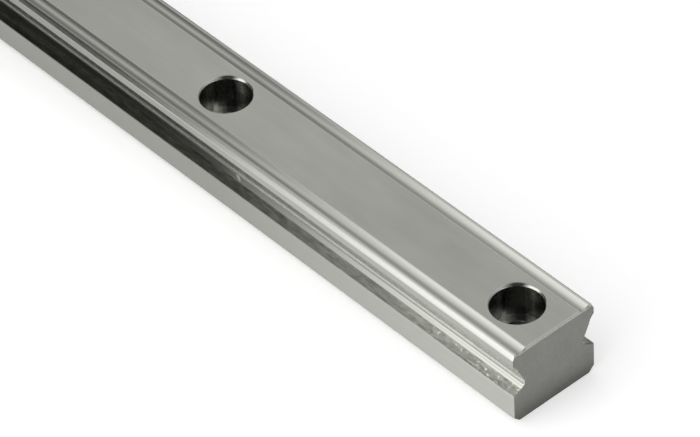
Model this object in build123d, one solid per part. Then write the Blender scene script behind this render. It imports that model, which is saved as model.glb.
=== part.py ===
from build123d import *
import os

# Profile rail of a linear guide, size 15, low radial section: one bar of ground steel.
# X runs along the rail, Z is up from the mounting face, and the origin is the middle of that face.

# Bar
rail_length = 200.0
rail_width = 15.0
rail_height = 12.5

# Foot, the wide lower part that sits against the machine bed, measured up from the mounting face
foot_chamfer = 1.0
foot_side_height = 5.0
foot_shoulder_round = 0.2

# Neck, the narrow band between the foot and the head
neck_width = 10.9
neck_height = 6.55
neck_land = 0.8
neck_fillet = 0.35

# Head, the dovetail that carries the balls, measured down from the top face
head_corner_drop = 0.7
head_corner_width = 0.35
head_land_height = 1.2

# Ball tracks, one ground into each top edge and one under each shoulder
track_radius = 2.0
track_rim_width = 0.5
top_track_width = 1.67
top_track_inner_round = 0.3
side_track_drop = 1.35
side_track_width = 0.9

# Mounting holes for socket cap screws
hole_pitch = 60.0
first_hole_distance = 7.0
hole_diameter = 4.5
counterbore_diameter = 7.5
counterbore_depth = 5.3
hole_edge_break = 0.25

# Sawn ends
end_chamfer = 0.25

# How far a cutter runs past the face that it opens
overrun = 1.0

# Corners of the half section, Y across and Z up
side = rail_width / 2
neck_low = (neck_width / 2, neck_height - neck_land / 2)
neck_high = (neck_width / 2, neck_height + neck_land / 2)
foot_shoulder = (side, foot_side_height)
land_high = (side, rail_height - head_corner_drop)
land_low = (side, rail_height - head_corner_drop - head_land_height)
side_track_low = (side - side_track_width, rail_height - head_corner_drop - head_land_height - side_track_drop)
ridge = (side - head_corner_width, rail_height)
top_track_outer = (side - head_corner_width - track_rim_width, rail_height)
top_track_inner = (side - head_corner_width - track_rim_width - top_track_width, rail_height)


def half_section():
    """The +Y half of the section, closed on the middle plane."""
    Polyline(
        (0, 0),
        (side - foot_chamfer, 0),
        (side, foot_chamfer),
        foot_shoulder,
        neck_low,
        neck_high,
        side_track_low,
    )
    RadiusArc(side_track_low, land_low, -track_radius)
    Polyline(land_low, land_high, ridge, top_track_outer)
    RadiusArc(top_track_outer, top_track_inner, track_radius)
    Polyline(top_track_inner, (0, rail_height), (0, 0))


def corners_at(sketch, *places):
    """The corners of the section at these places of its half, on both sides."""
    return [
        corner
        for corner in sketch.vertices()
        for place in places
        if abs(abs(corner.X) - place[0]) < 1e-6 and abs(corner.Y - place[1]) < 1e-6
    ]


def section():
    """The whole section in the YZ plane, with its rounded corners."""
    with BuildSketch(Plane.YZ) as whole:
        with BuildLine():
            half_section()
        make_face()
        mirror(about=Plane.YZ)
        fillet(corners_at(whole, neck_low, neck_high), neck_fillet)
        fillet(corners_at(whole, foot_shoulder), foot_shoulder_round)
        fillet(corners_at(whole, top_track_inner), top_track_inner_round)
    return whole.sketch


def make_bar():
    """The bar without its holes, each sawn end broken by a 45 degree chamfer."""
    face = section()
    body_end = rail_length / 2 - end_chamfer
    bar = extrude(face, amount=body_end, both=True)
    for direction in (1, -1):
        end_face = Pos(direction * body_end, 0, 0) * face
        bar += extrude(end_face, amount=end_chamfer, dir=(direction, 0, 0), taper=45)
    return bar


def screw_cutter():
    """What one screw hole takes out of the bar, turned about Z: hole, counterbore and broken edges."""
    seat = rail_height - counterbore_depth
    hole = hole_diameter / 2
    bore = counterbore_diameter / 2
    with BuildPart() as cutter:
        with BuildSketch(Plane.XZ):
            with BuildLine():
                Polyline(
                    (0, -overrun),
                    (hole + hole_edge_break, -overrun),
                    (hole + hole_edge_break, 0),
                    (hole, hole_edge_break),
                    (hole, seat),
                    (bore, seat),
                    (bore, rail_height - hole_edge_break),
                    (bore + hole_edge_break, rail_height),
                    (bore + hole_edge_break, rail_height + overrun),
                    (0, rail_height + overrun),
                    (0, -overrun),
                )
            make_face()
        revolve(axis=Axis.Z)
    return cutter.part


def hole_positions():
    """Places of the holes along X, a fixed pitch apart from the first hole at the +X end."""
    first = rail_length / 2 - first_hole_distance
    count = 1 + int((rail_length - 2 * first_hole_distance) // hole_pitch)
    return [first - hole_pitch * i for i in range(count)]


def make_rail():
    with BuildPart() as rail:
        add(make_bar())
        with Locations(*[(x, 0, 0) for x in hole_positions()]):
            add(screw_cutter(), mode=Mode.SUBTRACT)
    return rail.part


os.makedirs("parts", exist_ok=True)
export_step(make_rail(), "parts/rail.step")
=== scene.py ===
import math

import bmesh
import bpy
from mathutils import Matrix, Vector


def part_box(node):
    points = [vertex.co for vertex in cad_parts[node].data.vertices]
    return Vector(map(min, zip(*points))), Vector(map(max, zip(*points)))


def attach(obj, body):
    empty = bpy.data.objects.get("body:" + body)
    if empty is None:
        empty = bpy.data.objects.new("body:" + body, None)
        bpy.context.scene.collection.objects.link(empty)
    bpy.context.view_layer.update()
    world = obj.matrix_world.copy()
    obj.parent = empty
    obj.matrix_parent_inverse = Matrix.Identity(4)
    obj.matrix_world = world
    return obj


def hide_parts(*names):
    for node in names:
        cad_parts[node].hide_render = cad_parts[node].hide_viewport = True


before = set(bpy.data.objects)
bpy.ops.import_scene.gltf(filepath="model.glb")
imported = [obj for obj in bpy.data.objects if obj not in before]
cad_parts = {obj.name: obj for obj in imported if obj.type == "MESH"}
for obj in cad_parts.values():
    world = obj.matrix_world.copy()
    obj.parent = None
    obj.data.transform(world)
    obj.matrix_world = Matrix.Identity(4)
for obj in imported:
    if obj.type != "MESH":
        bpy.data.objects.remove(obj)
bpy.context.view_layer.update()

# Sizes are in metres. The bar's own come from its box in model.glb, the rest repeat its section.
MM = 0.001
_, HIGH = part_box("rail")
END = HIGH.x
SIDE = HIGH.y
TOP = HIGH.z

FOOT_CHAMFER = 1.0 * MM
FOOT_SIDE_HEIGHT = 5.0 * MM
KNEE = (6.06 * MM, 5.73 * MM)
NECK = 5.45 * MM
NECK_LOW = 6.15 * MM
NECK_HIGH = 6.95 * MM
SIDE_TRACK_DROP = 1.35 * MM
SIDE_TRACK_WIDTH = 0.9 * MM
LAND_HEIGHT = 1.2 * MM
CORNER_DROP = 0.7 * MM
CORNER_WIDTH = 0.35 * MM
RIM_WIDTH = 0.5 * MM
TOP_TRACK_WIDTH = 1.67 * MM
TRACK_RADIUS = 2.0 * MM

HOLE_PITCH = 60.0 * MM
FIRST_HOLE = END - 7.0 * MM
HOLE_COUNT = 4
HOLE_RADIUS = 2.25 * MM
BORE_RADIUS = 3.75 * MM
BORE_DEPTH = 5.3 * MM
HOLE_EDGE_BREAK = 0.25 * MM
END_CHAMFER = 0.25 * MM
OVERRUN = 1.0 * MM

# How far the round of a corner reaches along each of its sides
FINE_ROUND = 0.05 * MM
FLANK_ROUND = 0.09 * MM
NECK_ROUND = 0.1 * MM
LAND_ROUND = 0.12 * MM
RIDGE_ROUND = 0.22 * MM
RIM_ROUND = 0.09 * MM
TRACK_ROUND = 0.14 * MM
END_ROUND = 0.06 * MM
HOLE_ROUND = 0.04 * MM
# The most of a stretch that the round at one of its ends takes
ROUND_SHARE = 0.45
# The share of their reach that the rounds lose down the end's chamfer
ROUND_LOSS = 0.8

ARC_STEPS = 14
ROUND_STEPS = 6
HOLE_STEPS = 96
NO_LENGTH = 1e-9
WELD = 1e-7
SHARP_ANGLE = math.radians(40)

# The material of each zone, in the order of the rail's slots: the stretches of the section from the middle of
# the underside round to the middle of the top, then the worn edges and what the saw and the drills left
ZONE_MATERIALS = {
    "underside": "ground_top", "foot": "ground_foot", "flank": "drawn_flank", "clearance": "ground_clearance",
    "crease": "ground_crease", "neck": "ground_neck", "shoulder": "ground_shoulder", "land": "ground_land",
    "corner": "ground_corner", "rim": "ground_rim", "track": "ground_track", "top": "ground_top",
    "edge": "worn_edge", "sawn": "sawn_steel", "bore": "bored_steel", "seat": "seat_steel",
}
ZONES = list(ZONE_MATERIALS)
PLANE_ZONES = ("top", "underside")
# The zone of the round after each stretch of the half section
ROUND_ZONES = ("foot", "foot", "foot", "clearance", "crease", "crease", "shoulder", "land", "corner",
               "corner", "rim", "track")
# Only the -Y side has its own finishes on the clearance, lighter, and on the rim, darker with painted shade;
# the +Y side takes the flank's and the track's
RIGHT_ZONES = {"clearance": "flank", "rim": "track"}
# The finish of the end's chamfer, where it isn't that of the stretch beside it
END_ZONES = {"top": "edge", "track": "edge", "rim": "edge"}
RIGHT_END_ZONES = dict(END_ZONES, flank="sawn", crease="sawn", neck="sawn")
# The zones of a hole's profile, by the number of the stretch. The others are bored.
HOLE_ZONES = {4: "seat", 6: "edge", 7: "edge", 8: "edge", 9: "edge"}
# How deep the end's chamfer goes beside each stretch, as a share of its full depth
BREAK_SHARE = {"underside": 0.4, "foot": 0.35, "flank": 0.15, "clearance": 0.15, "crease": 0.15, "neck": 0.15,
               "shoulder": 0.15, "land": 0.2, "corner": 0.35, "rim": 0.7, "track": 0.7, "top": 1.0}


# Section

def corner(y, z, reach, zone, radius=0.0):
    """One corner of the half section, how far its round reaches, and the stretch that follows it."""
    return {"at": Vector((y, z)), "reach": reach, "zone": zone, "radius": radius}


def half_corners():
    """The +Y half of the section from the middle of the underside round to the middle of the top."""
    land_high = TOP - CORNER_DROP
    land_low = land_high - LAND_HEIGHT
    ridge = SIDE - CORNER_WIDTH
    track_outer = ridge - RIM_WIDTH
    track_inner = track_outer - TOP_TRACK_WIDTH
    return [
        corner(0, 0, 0, "underside"),
        corner(SIDE - FOOT_CHAMFER, 0, FINE_ROUND, "foot"),
        corner(SIDE, FOOT_CHAMFER, FINE_ROUND, "foot"),
        corner(SIDE, FOOT_SIDE_HEIGHT, FLANK_ROUND, "flank"),
        corner(*KNEE, FINE_ROUND, "clearance"),
        corner(NECK, NECK_LOW, NECK_ROUND, "neck"),
        corner(NECK, NECK_HIGH, NECK_ROUND, "shoulder"),
        corner(SIDE - SIDE_TRACK_WIDTH, land_low - SIDE_TRACK_DROP, FINE_ROUND, "shoulder", TRACK_RADIUS),
        corner(SIDE, land_low, FINE_ROUND, "land"),
        corner(SIDE, land_high, LAND_ROUND, "corner"),
        corner(ridge, TOP, RIDGE_ROUND, "rim"),
        corner(track_outer, TOP, RIM_ROUND, "track", TRACK_RADIUS),
        corner(track_inner, TOP, TRACK_ROUND, "top"),
        corner(0, TOP, 0, "top"),
    ]


def arc_centre(a, b, radius):
    """Centre of an arc from a to b that is hollow on the outside of the section."""
    along = (b - a).normalized()
    half = (b - a).length / 2
    outward = Vector((along.y, -along.x))
    return (a + b) / 2 + outward * math.sqrt(radius ** 2 - half ** 2)


def line_meets_line(p, u, q, v):
    cross = u.x * v.y - u.y * v.x
    t = ((q.x - p.x) * v.y - (q.y - p.y) * v.x) / cross
    return p + u * t


def line_meets_circle(p, u, centre, radius, near):
    foot = p + u * (centre - p).dot(u)
    half = math.sqrt(max(radius ** 2 - (foot - centre).length_squared, 0.0))
    return min((foot + u * half, foot - u * half), key=lambda point: (point - near).length)


def inset_corners(corners, inset):
    """The same corners on an outline that lies this far inside the section."""
    stretches = []
    for first, second in zip(corners, corners[1:]):
        a, b = first["at"], second["at"]
        along = (b - a).normalized()
        inward = Vector((-along.y, along.x))
        depth = inset * BREAK_SHARE[first["zone"]]
        if first["radius"]:
            centre = arc_centre(a, b, first["radius"])
            stretches.append(("arc", centre, first["radius"] + depth))
        else:
            stretches.append(("line", a + inward * depth, along))
    places = [Vector((0, stretches[0][1].y))]
    for before, after, here in zip(stretches, stretches[1:], corners[1:]):
        if before[0] == "line" and after[0] == "line":
            places.append(line_meets_line(before[1], before[2], after[1], after[2]))
        elif before[0] == "line":
            places.append(line_meets_circle(before[1], before[2], after[1], after[2], here["at"]))
        else:
            places.append(line_meets_circle(after[1], after[2], before[1], before[2], here["at"]))
    places.append(Vector((0, stretches[-1][1].y)))
    return [
        dict(here, at=place, centre=stretch[1])
        for here, place, stretch in zip(corners, places, stretches + [stretches[-1]])
    ]


def stretch_points(first, second, shrink):
    """Points from one corner to the next, between their rounds."""
    a, b = first["at"], second["at"]
    length = (b - a).length
    start_reach = min(first["reach"] * shrink, length * ROUND_SHARE)
    end_reach = min(second["reach"] * shrink, length * ROUND_SHARE)
    if not first["radius"]:
        along = (b - a).normalized() if length > NO_LENGTH else Vector((-1, 0))
        return [a + along * start_reach, b - along * end_reach]
    centre = first["centre"]
    start = math.atan2(a.y - centre.y, a.x - centre.x)
    sweep = (math.atan2(b.y - centre.y, b.x - centre.x) - start + math.pi) % (2 * math.pi) - math.pi
    radius = (a - centre).length
    start_cut = start_reach / radius * math.copysign(1, sweep)
    end_cut = end_reach / radius * math.copysign(1, sweep)
    kept = sweep - start_cut - end_cut
    angles = [start + start_cut + kept * i / ARC_STEPS for i in range(ARC_STEPS + 1)]
    return [centre + Vector((math.cos(t), math.sin(t))) * radius for t in angles]


def half_outline(inset):
    """Points (y, z) of the half section at this inset, and the zone of the stretch after each."""
    corners = inset_corners(half_corners(), inset)
    # Deep down the end's chamfer the rim has no width left
    ridge, rim_end = corners[-4]["at"], corners[-3]["at"]
    if rim_end.x > ridge.x:
        rim_end.x = ridge.x = (rim_end.x + ridge.x) / 2
    shrink = max(0.0, 1.0 - inset / END_CHAMFER * ROUND_LOSS)
    stretches = [stretch_points(first, second, shrink) for first, second in zip(corners, corners[1:])]
    points = list(stretches[0])
    zones = [corners[0]["zone"]] * (len(points) - 1)
    for turn, tip, before, after in zip(ROUND_ZONES, corners[1:], stretches, stretches[1:]):
        zones.append(turn)
        for i in range(1, ROUND_STEPS):
            t = i / ROUND_STEPS
            points.append(before[-1] * (1 - t) ** 2 + tip["at"] * 2 * t * (1 - t) + after[0] * t ** 2)
            zones.append(turn)
        points.extend(after)
        zones.extend([tip["zone"]] * (len(after) - 1))
    return points, zones


def ring(inset):
    """The closed outline at this inset: the +Y half up, then the -Y half down."""
    points, zones = half_outline(inset)
    left = [Vector((-p.x, p.y)) for p in reversed(points[1:-1])]
    right_zones = [RIGHT_ZONES.get(zone, zone) for zone in zones]
    return points + left, right_zones + list(reversed(zones))


def end_stations():
    """Distances from the sawn face and insets there, from the face's edge round its chamfer to the bar."""
    stations = []
    # The chamfer's two corners: distance, inset, and how far off the corner's round starts and stops
    for distance, inset, before, after in (
        (0.0, END_CHAMFER, (0.0, END_ROUND), (END_ROUND, -END_ROUND)),
        (END_CHAMFER, 0.0, (-END_ROUND, END_ROUND), (END_ROUND, 0.0)),
    ):
        for i in range(ROUND_STEPS + 1):
            s = i / ROUND_STEPS
            stations.append((
                distance + before[0] * (1 - s) ** 2 + after[0] * s ** 2,
                inset + before[1] * (1 - s) ** 2 + after[1] * s ** 2,
            ))
    return stations


# Meshes

def rail_mesh():
    """The bar: rings of the section along X, closed by the two sawn faces."""
    bm = bmesh.new()
    uv = bm.loops.layers.uv.new("UVMap")
    stations = end_stations()
    places = [(-END + t, d) for t, d in stations] + [(END - t, d) for t, d in reversed(stations)]
    rings = []
    for x, inset in places:
        points, zones = ring(max(inset, 0.0))
        rings.append([bm.verts.new((x, p.x, p.y)) for p in points])
    count = len(rings[0])
    lengths = [0.0]
    outline = ring(0.0)[0]
    for a, b in zip(outline, outline[1:] + outline[:1]):
        lengths.append(lengths[-1] + (b - a).length)
    end_rows = len(stations) - 1
    for row, (near, far) in enumerate(zip(rings, rings[1:])):
        is_end = row < end_rows or row >= len(rings) - 1 - end_rows
        for i in range(count):
            j = (i + 1) % count
            face = bm.faces.new([near[i], near[j], far[j], far[i]])
            zone = zones[i]
            if is_end:
                zone = (RIGHT_END_ZONES if near[i].co.y > 0 else END_ZONES).get(zone, zone)
            face.material_index = ZONES.index(zone)
            face.smooth = is_end or zone not in PLANE_ZONES
            for loop, around in zip(face.loops, (lengths[i], lengths[i + 1], lengths[i + 1], lengths[i])):
                loop[uv].uv = (around, loop.vert.co.x)
    for verts in (list(reversed(rings[0])), rings[-1]):
        face = bm.faces.new(verts)
        face.material_index = ZONES.index("sawn")
        for loop in face.loops:
            loop[uv].uv = (loop.vert.co.y, loop.vert.co.z)
    bmesh.ops.remove_doubles(bm, verts=bm.verts, dist=WELD)
    bmesh.ops.recalc_face_normals(bm, faces=bm.faces)
    mesh = bpy.data.meshes.new("rail_body")
    bm.to_mesh(mesh)
    bm.free()
    return mesh


def hole_profile():
    """Half outline of what a screw hole takes out, radius and height, from below to above."""
    seat = TOP - BORE_DEPTH
    rim = BORE_RADIUS + HOLE_EDGE_BREAK
    return [
        (HOLE_RADIUS + HOLE_EDGE_BREAK, -OVERRUN),
        (HOLE_RADIUS + HOLE_EDGE_BREAK, 0.0),
        (HOLE_RADIUS, HOLE_EDGE_BREAK),
        (HOLE_RADIUS, seat - HOLE_ROUND),
        (HOLE_RADIUS + HOLE_ROUND, seat),
        (BORE_RADIUS, seat),
        (BORE_RADIUS, TOP - HOLE_EDGE_BREAK - HOLE_ROUND),
        # The broken edge, a little rounded where it starts and where it runs out on top
        (BORE_RADIUS + 0.3 * HOLE_ROUND, TOP - HOLE_EDGE_BREAK),
        (rim - HOLE_ROUND, TOP - 0.6 * HOLE_ROUND),
        (rim + HOLE_ROUND, TOP + 0.5 * HOLE_ROUND),
        (rim + HOLE_ROUND, TOP + OVERRUN),
    ]


def cutter_mesh():
    """What all the screw holes take out of the bar."""
    bm = bmesh.new()
    uv = bm.loops.layers.uv.new("UVMap")
    # Half a step round, so that no vertex lies on the bar's middle line
    angles = [2 * math.pi * (i + 0.5) / HOLE_STEPS for i in range(HOLE_STEPS)]
    for k in range(HOLE_COUNT):
        x0 = FIRST_HOLE - k * HOLE_PITCH
        rows = [
            [bm.verts.new((x0 + radius * math.cos(a), radius * math.sin(a), z)) for a in angles]
            for radius, z in hole_profile()
        ]
        for number, (lower, upper) in enumerate(zip(rows, rows[1:])):
            for i in range(HOLE_STEPS):
                j = (i + 1) % HOLE_STEPS
                face = bm.faces.new([lower[i], lower[j], upper[j], upper[i]])
                face.material_index = ZONES.index(HOLE_ZONES.get(number, "bore"))
                face.smooth = True
                for loop, u in zip(face.loops, (i, i + 1, i + 1, i)):
                    loop[uv].uv = (u / HOLE_STEPS * 2 * math.pi * BORE_RADIUS, loop.vert.co.z)
        bm.faces.new(list(reversed(rows[0])))
        bm.faces.new(rows[-1])
    bmesh.ops.recalc_face_normals(bm, faces=bm.faces)
    mesh = bpy.data.meshes.new("screw_cutters")
    bm.to_mesh(mesh)
    bm.free()
    return mesh


# Shader nodes

BLACK = (0, 0, 0, 1)
WHITE = (1, 1, 1, 1)
# A mix node's sockets when it mixes colours: share, first, second and result
COLOUR_INPUTS = (0, 6, 7)
COLOUR_OUTPUT = 2


def new_material(name):
    material = bpy.data.materials.new(name)
    material.use_nodes = True
    material.node_tree.nodes.clear()
    return material, material.node_tree


def node(tree, kind, **inputs):
    """A new node with these input values. A space in an input's name is written _ here."""
    made = tree.nodes.new(kind)
    for name, value in inputs.items():
        made.inputs[name.replace("_", " ")].default_value = value
    return made


def feed(tree, socket, value):
    """Gives an input a value, or links it where the value is another node's output."""
    if isinstance(value, bpy.types.NodeSocket):
        tree.links.new(value, socket)
    else:
        socket.default_value = value


def maths(tree, operation, *values, kind="ShaderNodeMath"):
    """What one math node makes of these values."""
    made = node(tree, kind)
    made.operation = operation
    for socket, value in zip(made.inputs, values):
        feed(tree, socket, value)
    return made.outputs["Value"]


def vector_maths(tree, operation, *vectors):
    return maths(tree, operation, *vectors, kind="ShaderNodeVectorMath")


def mix_values(tree, share, first, second):
    """Two values mixed, the second by this share."""
    mix = node(tree, "ShaderNodeMix")
    for name, value in zip(("Factor", "A", "B"), (share, first, second)):
        feed(tree, mix.inputs[name], value)
    return mix.outputs["Result"]


def mix_colours(tree, share, first, second):
    """Two colours mixed, the second by this share."""
    mix = node(tree, "ShaderNodeMix")
    mix.data_type = "RGBA"
    for number, value in zip(COLOUR_INPUTS, (share, first, second)):
        feed(tree, mix.inputs[number], value)
    return mix.outputs[COLOUR_OUTPUT]


def darkened(tree, colour, share):
    """A colour times a grey."""
    return mix_colours(tree, share, BLACK, colour)


def remap(tree, value, low, high, start=0.3, stop=0.7):
    """A value that runs from start to stop, made to run from low to high."""
    made = node(tree, "ShaderNodeMapRange", From_Min=start, From_Max=stop, To_Min=low, To_Max=high)
    tree.links.new(value, made.inputs["Value"])
    return made.outputs["Result"]


def two_tone(tree, value, dark, light, low=0.35, high=0.65):
    """The dark colour up to low, the light one from high."""
    ramp = node(tree, "ShaderNodeValToRGB")
    for element, place, colour in zip(ramp.color_ramp.elements, (low, high), (dark, light)):
        element.position = place
        element.color = (*colour, 1)
    tree.links.new(value, ramp.inputs["Fac"])
    return ramp.outputs["Color"]


def greys(tree, value, stops, curve):
    """Greys by a value from 0 to 1."""
    ramp = node(tree, "ShaderNodeValToRGB")
    ramp.color_ramp.interpolation = curve
    elements = ramp.color_ramp.elements
    while len(elements) < len(stops):
        elements.new(0.5)
    for element, (position, grey) in zip(elements, stops):
        element.position = position
        element.color = (grey, grey, grey, 1)
    tree.links.new(value, ramp.inputs["Fac"])
    return ramp.outputs["Color"]


def greys_by(tree, value, start, stop, shades):
    """Greys by a value that runs from start to stop."""
    return greys(tree, remap(tree, value, 0.0, 1.0, start, stop), shades, "LINEAR")


def on_rail(tree):
    """Place on the rail."""
    return node(tree, "ShaderNodeTexCoord").outputs["Object"]


def split(tree, vector):
    """A vector's three parts, by the names X, Y and Z."""
    made = node(tree, "ShaderNodeSeparateXYZ")
    tree.links.new(vector, made.inputs[0])
    return made.outputs


def join(tree, x, y):
    """A vector of this X and Y, and no Z."""
    made = node(tree, "ShaderNodeCombineXYZ")
    tree.links.new(x, made.inputs["X"])
    tree.links.new(y, made.inputs["Y"])
    return made.outputs["Vector"]


def local(tree, vector, **spot):
    """Place as seen from a spot that has a Location, Rotation or Scale of its own."""
    made = node(tree, "ShaderNodeMapping", **spot)
    made.vector_type = "TEXTURE"
    tree.links.new(vector, made.inputs["Vector"])
    return made.outputs["Vector"]


def ball(tree, vector):
    """1 at the middle of a ball of radius 1, down to 0 on its surface."""
    made = node(tree, "ShaderNodeTexGradient")
    made.gradient_type = "SPHERICAL"
    tree.links.new(vector, made.inputs["Vector"])
    return made.outputs["Fac"]


def noise(tree, vector, scale, detail, roughness):
    made = node(tree, "ShaderNodeTexNoise", Scale=scale, Detail=detail, Roughness=roughness)
    tree.links.new(vector, made.inputs["Vector"])
    return made.outputs["Fac"]


def streaks(tree, scale, detail, roughness=0.6):
    """Noise stretched into lines along the axis whose scale is small."""
    mapping = node(tree, "ShaderNodeMapping", Scale=scale)
    tree.links.new(on_rail(tree), mapping.inputs["Vector"])
    return noise(tree, mapping.outputs["Vector"], 1.0, detail, roughness)


def along_axis(tree, axis, start, stop, shades):
    """Greys by place along one axis of the rail, from start to stop."""
    return greys_by(tree, split(tree, on_rail(tree))[axis], start, stop, shades)


def hole_local(tree):
    """Place across X and Y from the middle of the nearest screw hole."""
    place = split(tree, on_rail(tree))
    shifted = maths(tree, "SUBTRACT", place["X"], FIRST_HOLE)
    return join(tree, maths(tree, "WRAP", shifted, HOLE_PITCH / 2, -HOLE_PITCH / 2), place["Y"])


def seen(tree):
    """1 where the camera looks, straight or through glass or in a mirror, and 0 for other rays."""
    path = node(tree, "ShaderNodeLightPath")
    total = path.outputs["Is Camera Ray"]
    for other in ("Is Glossy Ray", "Is Transmission Ray"):
        total = maths(tree, "MAXIMUM", total, path.outputs[other])
    return total


# Steel

STEEL_RED = 0.985
STEEL_BLUE = 0.92
NECK_BLUE = 0.95
FLANK_BLUE = 0.87


def tint(value, blue=STEEL_BLUE):
    """Steel's faint warm cast at this value."""
    return (value * STEEL_RED, value, value * blue)


# The fine lines: scale along X, and detail
FINE_ALONG = 14.0
FINE_DETAIL = 4.0
# The other noises: scale along X, Y and Z or along all three, detail, and roughness where streaks() has another
BROAD = ((9.0, 320.0, 320.0), 3.0)
MOTTLE = ((480.0, 2300.0, 2300.0), 5.0)
CLOUD = ((75.0, 210.0, 210.0), 2.0)
SPECKS = ((1500.0, 2200.0, 2200.0), 2.0)
RINGS = ((150.0, 150.0, 3600.0), 4.0)
WALL_LINES = ((900.0, 900.0, 60.0), 2.0, 0.5)
SAWN_GRAIN = (1600.0, 6.0, 0.65)
SAWN_CLOUD = (260.0, 3.0, 0.5)
# How much of the second noise goes into the first
BROAD_SHARE = 0.45
WALL_LINE_SHARE = 0.75
SAWN_CLOUD_SHARE = 0.5


def new_metal(name, **inputs):
    """A new metal material, its node tree and its shader."""
    material, tree = new_material(name)
    out = node(tree, "ShaderNodeOutputMaterial")
    shader = node(tree, "ShaderNodeBsdfPrincipled", Metallic=1.0, **inputs)
    tree.links.new(shader.outputs["BSDF"], out.inputs["Surface"])
    return material, tree, shader


def finish(tree, shader, colour, roughness, height, depth):
    """Gives a shader its colour, its roughness, and a relief of this depth."""
    tree.links.new(colour, shader.inputs["Base Color"])
    tree.links.new(roughness, shader.inputs["Roughness"])
    relief = node(tree, "ShaderNodeBump", Strength=1.0, Distance=depth)
    tree.links.new(height, relief.inputs["Height"])
    tree.links.new(relief.outputs["Normal"], shader.inputs["Normal"])


def steel(name, tones, rough, lines, depth, brushed=0.0, mottle=0.0, cloud=0.0, along=(), extra=None):
    """Ground or drawn steel: lines along the rail in its colour, roughness and relief, mottling, and painted
    shade.
    """
    material, tree, shader = new_metal(name, Anisotropic=brushed)
    fine = streaks(tree, (FINE_ALONG, lines, lines), FINE_DETAIL)
    value = mix_values(tree, BROAD_SHARE, fine, streaks(tree, *BROAD))
    if mottle:
        value = mix_values(tree, mottle, value, streaks(tree, *MOTTLE))
    if cloud:
        value = mix_values(tree, cloud, value, streaks(tree, *CLOUD))
    colour = two_tone(tree, value, *tones)
    roughness = remap(tree, value, *rough)
    # Painted shade, for how the light and its reflections vary over the rail
    for shades in along:
        colour = darkened(tree, colour, along_axis(tree, *shades))
    if extra:
        colour, roughness = extra(tree, colour, roughness)
    finish(tree, shader, colour, roughness, value, depth)
    if brushed:
        tangent = node(tree, "ShaderNodeTangent")
        tangent.direction_type = "RADIAL"
        tangent.axis = "X"
        tree.links.new(tangent.outputs["Tangent"], shader.inputs["Tangent"])
    return material


# Painted shade over each finish, for how the light and its reflections vary over the rail: the axis,
# where they start and stop on it, and greys from there to there
CLEARANCE_PAINTED_SHADE = ("X", 38.0 * MM, 88.0 * MM, ((0.0, 0.28), (0.09, 0.48), (1.0, 1.0)))
NECK_PAINTED_SHADE = ("X", 38.0 * MM, 88.0 * MM, ((0.0, 0.72), (0.09, 0.8), (1.0, 1.0)))
CREASE_PAINTED_SHADE = ("X", 30.0 * MM, 75.0 * MM, ((0.0, 0.5), (0.4, 0.85), (1.0, 1.0)))
SHOULDER_PAINTED_SHADE = ("X", 5.0 * MM, 60.0 * MM, ((0.0, 0.84), (0.5, 0.62), (0.85, 0.76), (1.0, 0.76)))
LAND_PAINTED_SHADE = ("X", 5.0 * MM, 70.0 * MM, ((0.0, 0.76), (0.2, 0.83), (0.4, 0.8), (0.62, 0.93), (1.0, 1.0)))
CORNER_PAINTED_SHADE = ("X", 5.0 * MM, 75.0 * MM, ((0.0, 0.65), (0.17, 0.65), (0.3, 0.95), (0.4, 0.87), (0.64, 0.86),
                                            (0.87, 0.96), (1.0, 1.0)))
FOOT_PAINTED_SHADE = ("X", 38.0 * MM, 92.0 * MM, ((0.0, 0.68), (0.2, 0.75), (1.0, 1.0)))
TOP_PAINTED_SHADE = ("X", 30.0 * MM, 80.0 * MM, ((0.0, 1.0), (1.0, 0.82)))
RIM_PAINTED_SHADE = ("X", 30.0 * MM, 60.0 * MM, ((0.0, 0.56), (0.65, 0.9), (1.0, 0.97)))
TRACK_PAINTED_SHADE = ("X", 20.0 * MM, 85.0 * MM, ((0.0, 0.78), (0.2, 0.7), (0.5, 0.83), (0.85, 0.95), (1.0, 1.0)))
FLANK_PAINTED_SHADE = ("Z", 5.0 * MM, 5.75 * MM, ((0.0, 1.0), (0.2, 0.7), (0.5, 0.8), (0.85, 1.0)))
FLANK_END_PAINTED_SHADE = ("X", 74.0 * MM, 84.0 * MM, ((0.0, 0.75), (1.0, 1.0)))
SAWN_PAINTED_SHADE = ("Z", 0.0 * MM, 5.0 * MM, ((0.0, 0.5), (0.2, 0.63), (0.4, 0.79), (0.6, 0.9), (1.0, 1.0)))

MARK_ROUGHNESS = 0.6

NICK = (41.7 * MM, -5.7 * MM, 5.97 * MM)
NICK_SIZE = (0.95 * MM, 0.2 * MM, 1.0 * MM)
NICK_TURN = math.radians(-20)
NICK_COLOUR = tint(0.5)
NICK_FADE = (0.1, 0.6)

SPECK_STRETCH = ("X", 76.0 * MM, 84.0 * MM, ((0.0, 0.0), (1.0, 1.0)))
SPECK_COLOURS = (tint(0.95, FLANK_BLUE), tint(0.08, FLANK_BLUE))
SPECK_LIMITS = ((0.6, 0.72), (0.46, 0.32))
SPECK_SHARE = 0.4

# A smudge over each hole's rim, with painted shade that takes the rim's glint off on that side
SMUDGE_AND_SHADE_ANGLE = math.radians(136)
SMUDGE_AND_SHADE_SPREAD = math.radians(27)
SMUDGE_AND_SHADE_OUT = 3.92 * MM
SMUDGE_AND_SHADE_REACH = 0.45 * MM
SMUDGE_AND_SHADE_COLOUR = tint(0.05)
SMUDGE_AND_SHADE_FADE = (0.0, 0.6)


def marked(tree, colour, roughness, share, mark):
    """A colour and roughness under a dull mark of another colour, which covers this share of them, such as the
    nick and the smudge with its painted shade.
    """
    covered = mix_colours(tree, share, colour, (*mark, 1))
    return covered, mix_values(tree, share, roughness, MARK_ROUGHNESS)


def nicked(tree, colour, roughness):
    """A small bright nick beside the neck."""
    place = local(tree, on_rail(tree), Location=NICK, Rotation=(0, 0, NICK_TURN), Scale=NICK_SIZE)
    spot = remap(tree, ball(tree, place), 0.0, 1.0, *NICK_FADE)
    return marked(tree, colour, roughness, spot, NICK_COLOUR)


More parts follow.
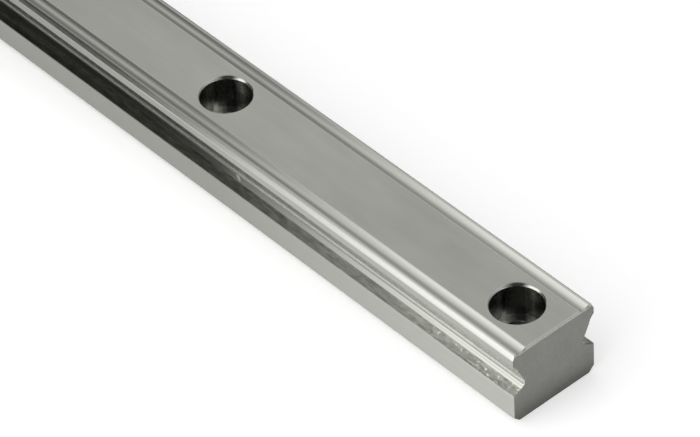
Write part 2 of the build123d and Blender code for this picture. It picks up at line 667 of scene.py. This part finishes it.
def speckled(tree, colour, roughness):
    """Small light and dark specks on the last stretch before the near end."""
    specks = streaks(tree, *SPECKS)
    stretch = along_axis(tree, *SPECK_STRETCH)
    for speck, limits in zip(SPECK_COLOURS, SPECK_LIMITS):
        spots = remap(tree, specks, 0.0, SPECK_SHARE, *limits)
        colour = mix_colours(tree, maths(tree, "MULTIPLY", spots, stretch), colour, (*speck, 1))
    return colour, roughness


def smudged_and_shaded(tree, colour, roughness):
    """A dark patch over each hole's rim, towards -X and +Y: a smudge, with painted shade that takes the rim's
    glint off there.
    """
    turned = local(tree, hole_local(tree), Rotation=(0, 0, SMUDGE_AND_SHADE_ANGLE))
    place = split(tree, turned)
    angle = maths(tree, "ARCTAN2", place["Y"], place["X"])
    out = vector_maths(tree, "LENGTH", turned)
    around = remap(tree, angle, -1.0, 1.0, -SMUDGE_AND_SHADE_SPREAD, SMUDGE_AND_SHADE_SPREAD)
    away = remap(tree, out, -1.0, 1.0, SMUDGE_AND_SHADE_OUT - SMUDGE_AND_SHADE_REACH, SMUDGE_AND_SHADE_OUT + SMUDGE_AND_SHADE_REACH)
    dirt_and_shade = remap(tree, ball(tree, join(tree, around, away)), 0.0, 1.0, *SMUDGE_AND_SHADE_FADE)
    return marked(tree, colour, roughness, dirt_and_shade, SMUDGE_AND_SHADE_COLOUR)


SAWN_TONES = (tint(0.2), tint(0.29), 0.3, 0.7)
SAWN_ROUGH = (0.5, 0.62)
SAWN_RELIEF = 0.012 * MM


def sawn_steel():
    """The cut end: matte, with a fine stipple and a few faint spots, under painted shade that darkens it
    towards the bottom.
    """
    material, tree, shader = new_metal("sawn_steel")
    place = on_rail(tree)
    grain = noise(tree, place, *SAWN_GRAIN)
    value = mix_values(tree, SAWN_CLOUD_SHARE, grain, noise(tree, place, *SAWN_CLOUD))
    colour = darkened(tree, two_tone(tree, value, *SAWN_TONES), along_axis(tree, *SAWN_PAINTED_SHADE))
    finish(tree, shader, colour, remap(tree, value, *SAWN_ROUGH), grain, SAWN_RELIEF)
    return material


# Painted shade and painted reflections in bands across each hole, turned about its middle: on the wall, at the
# wall's foot, and on the seat
BAND_TURN = math.radians(50.5)
WALL_PAINTED_LIGHT_AND_SHADE = ((0.0, 0.2), (0.06, 0.2), (0.125, 0.42), (0.2, 0.42), (0.275, 0.2), (0.35, 0.2), (0.5, 0.22),
              (0.58, 0.16), (0.65, 0.13), (0.725, 0.45), (0.8, 0.85), (0.86, 0.3), (1.0, 0.12))
WALL_FOOT_PAINTED_LIGHT_AND_SHADE = ((0.0, 0.5), (0.125, 0.55), (0.2, 0.3), (0.22, 0.3), (0.25, 1.0), (0.3, 1.0), (0.33, 0.3),
                   (0.425, 0.25), (0.5, 0.2), (0.65, 0.18), (0.725, 0.25), (0.8, 0.2), (0.875, 0.1),
                   (1.0, 0.1))
SEAT_PAINTED_LIGHT_AND_SHADE = ((0.0, 0.5), (0.2, 0.8), (0.275, 1.0), (0.35, 0.9), (0.425, 0.45), (0.5, 0.12), (0.65, 0.08),
              (0.725, 0.3), (0.8, 0.4), (1.0, 0.2))
# From here up to there the foot's bands turn into the wall's
WALL_FOOT = (7.2 * MM, 8.6 * MM)
BORE_TONES = (tint(0.6), tint(1.0), 0.4, 0.66)
BORE_RELIEF = 0.006 * MM


def bore_steel(name, foot_painted_light_and_shade, rough):
    """Drilled steel with lines down the wall and faint rings from the cutter, under painted shade that makes it
    dark and painted reflections in lighter bands.
    """
    material, tree, shader = new_metal(name)
    value = mix_values(tree, WALL_LINE_SHARE, streaks(tree, *RINGS), streaks(tree, *WALL_LINES))
    band_way = (math.cos(BAND_TURN), math.sin(BAND_TURN), 0)
    across = vector_maths(tree, "DOT_PRODUCT", hole_local(tree), band_way)
    foot = greys_by(tree, across, -BORE_RADIUS, BORE_RADIUS, foot_painted_light_and_shade)
    wall = greys_by(tree, across, -BORE_RADIUS, BORE_RADIUS, WALL_PAINTED_LIGHT_AND_SHADE)
    height = remap(tree, split(tree, on_rail(tree))["Z"], 0.0, 1.0, *WALL_FOOT)
    colour = darkened(tree, two_tone(tree, value, *BORE_TONES), mix_colours(tree, height, foot, wall))
    finish(tree, shader, colour, remap(tree, value, *rough), value, BORE_RELIEF)
    return material


# The ground and drawn finishes: dark and light tone, roughness from the one to the other, how fine the lines
# across the rail are, how deep they are, how brushed they look, and what goes over them. The light tones of the
# neck are a painted highlight, and the dark ones of the crease, the land and the -Y rim painted shade.
STEELS = {
    "ground_top": dict(tones=(tint(0.52), tint(0.62)), rough=(0.29, 0.37), lines=5200.0, depth=0.001 * MM,
                       brushed=0.6, cloud=0.5, along=(TOP_PAINTED_SHADE,), extra=smudged_and_shaded),
    "ground_track": dict(tones=(tint(0.65), tint(0.75)), rough=(0.2, 0.27), lines=6500.0, depth=0.001 * MM,
                         brushed=0.5, along=(TRACK_PAINTED_SHADE,)),
    "ground_rim": dict(tones=(tint(0.54), tint(0.62)), rough=(0.2, 0.27), lines=6500.0, depth=0.001 * MM,
                       brushed=0.5, along=(RIM_PAINTED_SHADE,)),
    "ground_shoulder": dict(tones=(tint(0.5), tint(0.66)), rough=(0.2, 0.3), lines=6500.0, depth=0.001 * MM,
                            brushed=0.5, along=(SHOULDER_PAINTED_SHADE,)),
    "ground_corner": dict(tones=(tint(0.6), tint(0.68)), rough=(0.3, 0.36), lines=6500.0, depth=0.001 * MM,
                          brushed=0.5, along=(CORNER_PAINTED_SHADE,)),
    "ground_foot": dict(tones=(tint(0.46), tint(0.51)), rough=(0.3, 0.4), lines=4200.0, depth=0.0015 * MM,
                        brushed=0.5, along=(FOOT_PAINTED_SHADE,)),
    "ground_land": dict(tones=(tint(0.39), tint(0.45)), rough=(0.3, 0.4), lines=5200.0, depth=0.0015 * MM,
                        brushed=0.5, along=(LAND_PAINTED_SHADE,)),
    "ground_clearance": dict(tones=(tint(0.48), tint(0.78)), rough=(0.2, 0.3), lines=5200.0,
                             depth=0.0015 * MM, brushed=0.5, along=(CLEARANCE_PAINTED_SHADE,), extra=nicked),
    "ground_neck": dict(tones=(tint(0.86, NECK_BLUE), tint(1.0, NECK_BLUE)), rough=(0.22, 0.3), lines=5200.0,
                        depth=0.0015 * MM, brushed=0.5, along=(NECK_PAINTED_SHADE,)),
    "ground_crease": dict(tones=(tint(0.28), tint(0.4)), rough=(0.35, 0.45), lines=5200.0, depth=0.0015 * MM,
                          along=(CREASE_PAINTED_SHADE,)),
    "drawn_flank": dict(tones=(tint(0.12, FLANK_BLUE), tint(0.5, FLANK_BLUE)), rough=(0.15, 0.27),
                        lines=2600.0, depth=0.002 * MM, brushed=0.3, mottle=0.5,
                        along=(FLANK_PAINTED_SHADE, FLANK_END_PAINTED_SHADE), extra=speckled),
    "worn_edge": dict(tones=(tint(0.53), tint(0.63)), rough=(0.2, 0.3), lines=4000.0, depth=0.001 * MM,
                      extra=smudged_and_shaded),
}
BORED = {
    "bored_steel": dict(foot_painted_light_and_shade=WALL_FOOT_PAINTED_LIGHT_AND_SHADE, rough=(0.2, 0.36)),
    "seat_steel": dict(foot_painted_light_and_shade=SEAT_PAINTED_LIGHT_AND_SHADE, rough=(0.45, 0.6)),
}


def zone_materials():
    """One material for each zone of the rail, in the order of ZONES."""
    made = {name: steel(name, **look) for name, look in STEELS.items()}
    made["sawn_steel"] = sawn_steel()
    made.update((name, bore_steel(name, **look)) for name, look in BORED.items())
    return [made[ZONE_MATERIALS[zone]] for zone in ZONES]


def make_rail(materials):
    """The bar with its screw holes cut."""
    rail = bpy.data.objects.new("rail_body", rail_mesh())
    cutters = bpy.data.objects.new("screw_cutters", cutter_mesh())
    for piece in (rail, cutters):
        bpy.context.scene.collection.objects.link(piece)
        for material in materials:
            piece.data.materials.append(material)
    cut = rail.modifiers.new("screw_holes", "BOOLEAN")
    cut.operation = "DIFFERENCE"
    cut.solver = "EXACT"
    cut.object = cutters
    bpy.context.view_layer.update()
    shape = bpy.data.meshes.new_from_object(rail.evaluated_get(bpy.context.evaluated_depsgraph_get()))
    rail.modifiers.clear()
    rail.data = shape
    bpy.data.objects.remove(cutters)
    rail.data.set_sharp_from_angle(angle=SHARP_ANGLE)
    weigh = rail.modifiers.new("weighted_normals", "WEIGHTED_NORMAL")
    weigh.keep_sharp = True
    weigh.weight = 100
    return rail


rail = make_rail(zone_materials())
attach(rail, "root")
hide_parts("rail")


# Camera

VIEW_TARGET = Vector((END - 40.85 * MM, -0.19 * MM, 6.0 * MM))
VIEW_AZIMUTH = math.radians(50.543)
VIEW_ELEVATION = math.radians(42.492)
VIEW_ROLL = math.radians(3.44)
VIEW_DISTANCE = 615.5 * MM
LENS = 227.4
SENSOR = 36.0
CLIP_END = 20.0


def make_camera():
    """A long lens from the near end's left, above, tipped a little clockwise."""
    back = Vector((
        math.sin(VIEW_AZIMUTH) * math.cos(VIEW_ELEVATION),
        -math.cos(VIEW_AZIMUTH) * math.cos(VIEW_ELEVATION),
        math.sin(VIEW_ELEVATION),
    ))
    level = Vector((0, 0, 1)).cross(back).normalized()
    down = level.cross(back)
    right = level * math.cos(VIEW_ROLL) + down * math.sin(VIEW_ROLL)
    up = back.cross(right)
    data = bpy.data.cameras.new("camera")
    data.lens = LENS
    data.sensor_width = SENSOR
    data.clip_end = CLIP_END
    camera = bpy.data.objects.new("camera", data)
    bpy.context.scene.collection.objects.link(camera)
    turn = Matrix((right, up, back)).transposed().to_4x4()
    camera.matrix_world = Matrix.Translation(VIEW_TARGET + back * VIEW_DISTANCE) @ turn
    bpy.context.scene.camera = camera


# Stage

FLOOR_HALF = 4.0
FLOOR_GAP = 0.02 * MM
FLOOR_COLOUR = (0.9, 0.9, 0.9, 1)
FLOOR_GLOW = 0.36

TENT_RADIUS = 0.32
TENT_REACH = 0.9
TENT_STEPS = 64
TENT_LEVEL = 2.0
# Where along X the far cloth turns into the near one, and the near one into the one past the near end
FADE_START = -0.19
FADE_STOP = -0.14
OPEN_START = 0.18
OPEN_STOP = 0.26
# How bright each cloth is, from 0 at the floor on the right to 1 at the floor on the left
NEAR_CLOTH = ((0.0, 0.175), (0.15, 0.182), (0.21, 0.215), (0.26, 0.275), (0.306, 0.35), (0.4, 0.47),
              (0.5, 0.555), (0.56, 0.6), (0.62, 0.74), (0.8, 0.82), (1.0, 1.0))
FAR_CLOTH = ((0.0, 0.105), (0.15, 0.135), (0.22, 0.2), (0.27, 0.32), (0.306, 0.36), (0.35, 0.34), (0.41, 0.2),
             (0.5, 0.065), (0.62, 0.02), (0.8, 0.01), (1.0, 0.01))
OPEN_CLOTH = ((0.0, 0.2), (0.15, 0.25), (0.306, 0.34), (0.38, 0.3), (0.5, 0.15), (0.62, 0.08), (0.8, 0.2),
              (1.0, 0.5))

CARD_PLACE = -0.05
CARD_FAR = -0.35
CARD_NEAR = 0.012
CARD_SLANT = 0.075
CARD_HEIGHT = 0.2
CARD_COLOUR = (0.12, 0.12, 0.12, 1)

# The world's light on the object, and as the camera sees it
WORLD_LEVEL = 0.5
WORLD_SEEN = 1.0


def staged(name, bm):
    mesh = bpy.data.meshes.new(name)
    bm.to_mesh(mesh)
    bm.free()
    piece = bpy.data.objects.new(name, mesh)
    bpy.context.scene.collection.objects.link(piece)
    return piece


def make_floor():
    """A pale floor that looks white to the camera and keeps the object's shadow."""
    bm = bmesh.new()
    bmesh.ops.create_grid(bm, x_segments=1, y_segments=1, size=FLOOR_HALF)
    floor = staged("floor", bm)
    floor.location.z = -FLOOR_GAP
    material, tree = new_material("pale_floor")
    out = node(tree, "ShaderNodeOutputMaterial")
    matte = node(tree, "ShaderNodeBsdfDiffuse", Color=FLOOR_COLOUR)
    glow = node(tree, "ShaderNodeEmission", Color=WHITE)
    tree.links.new(maths(tree, "MULTIPLY", seen(tree), FLOOR_GLOW), glow.inputs["Strength"])
    add = node(tree, "ShaderNodeAddShader")
    tree.links.new(matte.outputs["BSDF"], add.inputs[0])
    tree.links.new(glow.outputs["Emission"], add.inputs[1])
    tree.links.new(add.outputs["Shader"], out.inputs["Surface"])
    floor.data.materials.append(material)


def make_tent():
    """A half round light tent over the rail, its cloth bright on the near left and dim past the far end."""
    bm = bmesh.new()
    angles = [math.pi * i / TENT_STEPS for i in range(TENT_STEPS + 1)]
    far_row, near_row = (
        [bm.verts.new((x, TENT_RADIUS * math.cos(a), TENT_RADIUS * math.sin(a))) for a in angles]
        for x in (-TENT_REACH, TENT_REACH)
    )
    for i in range(TENT_STEPS):
        bm.faces.new([far_row[i], far_row[i + 1], near_row[i + 1], near_row[i]])
    tent = staged("light_tent", bm)
    tent.visible_camera = False
    tent.visible_shadow = False
    material, tree = new_material("tent_cloth")
    out = node(tree, "ShaderNodeOutputMaterial")
    glow = node(tree, "ShaderNodeEmission", Strength=TENT_LEVEL)
    place = split(tree, node(tree, "ShaderNodeNewGeometry").outputs["Position"])
    turn = maths(tree, "DIVIDE", maths(tree, "ARCTAN2", place["Z"], place["Y"]), math.pi)
    near, far, past = (greys(tree, turn, cloth, "EASE") for cloth in (NEAR_CLOTH, FAR_CLOTH, OPEN_CLOTH))
    fade = remap(tree, place["X"], 0.0, 1.0, FADE_START, FADE_STOP)
    opening = remap(tree, place["X"], 0.0, 1.0, OPEN_START, OPEN_STOP)
    cloth = mix_colours(tree, opening, mix_colours(tree, fade, far, near), past)
    tree.links.new(cloth, glow.inputs["Color"])
    tree.links.new(glow.outputs["Emission"], out.inputs["Surface"])
    tent.data.materials.append(material)


def make_card():
    """A dark card beside the far part of the rail. Only the steel sees it."""
    bm = bmesh.new()
    corners = ((CARD_FAR, 0), (CARD_NEAR, 0), (CARD_NEAR - CARD_SLANT, CARD_HEIGHT), (CARD_FAR, CARD_HEIGHT))
    bm.faces.new([bm.verts.new((x, CARD_PLACE, z)) for x, z in corners])
    card = staged("dark_card", bm)
    card.visible_camera = False
    card.visible_shadow = False
    card.visible_diffuse = False
    material, tree = new_material("card_black")
    out = node(tree, "ShaderNodeOutputMaterial")
    matte = node(tree, "ShaderNodeBsdfDiffuse", Color=CARD_COLOUR)
    tree.links.new(matte.outputs["BSDF"], out.inputs["Surface"])
    card.data.materials.append(material)


def make_world():
    """Soft even light, which looks white to the camera."""
    world = bpy.data.worlds.new("studio")
    bpy.context.scene.world = world
    world.use_nodes = True
    tree = world.node_tree
    tree.nodes.clear()
    out = node(tree, "ShaderNodeOutputWorld")
    back = node(tree, "ShaderNodeBackground", Color=WHITE)
    tree.links.new(remap(tree, seen(tree), WORLD_LEVEL, WORLD_SEEN, 0.0, 1.0), back.inputs["Strength"])
    tree.links.new(back.outputs["Background"], out.inputs["Surface"])


make_camera()
make_floor()
make_tent()
make_card()
make_world()
bpy.context.scene.view_settings.view_transform = "Standard"

bpy.context.view_layer.update()
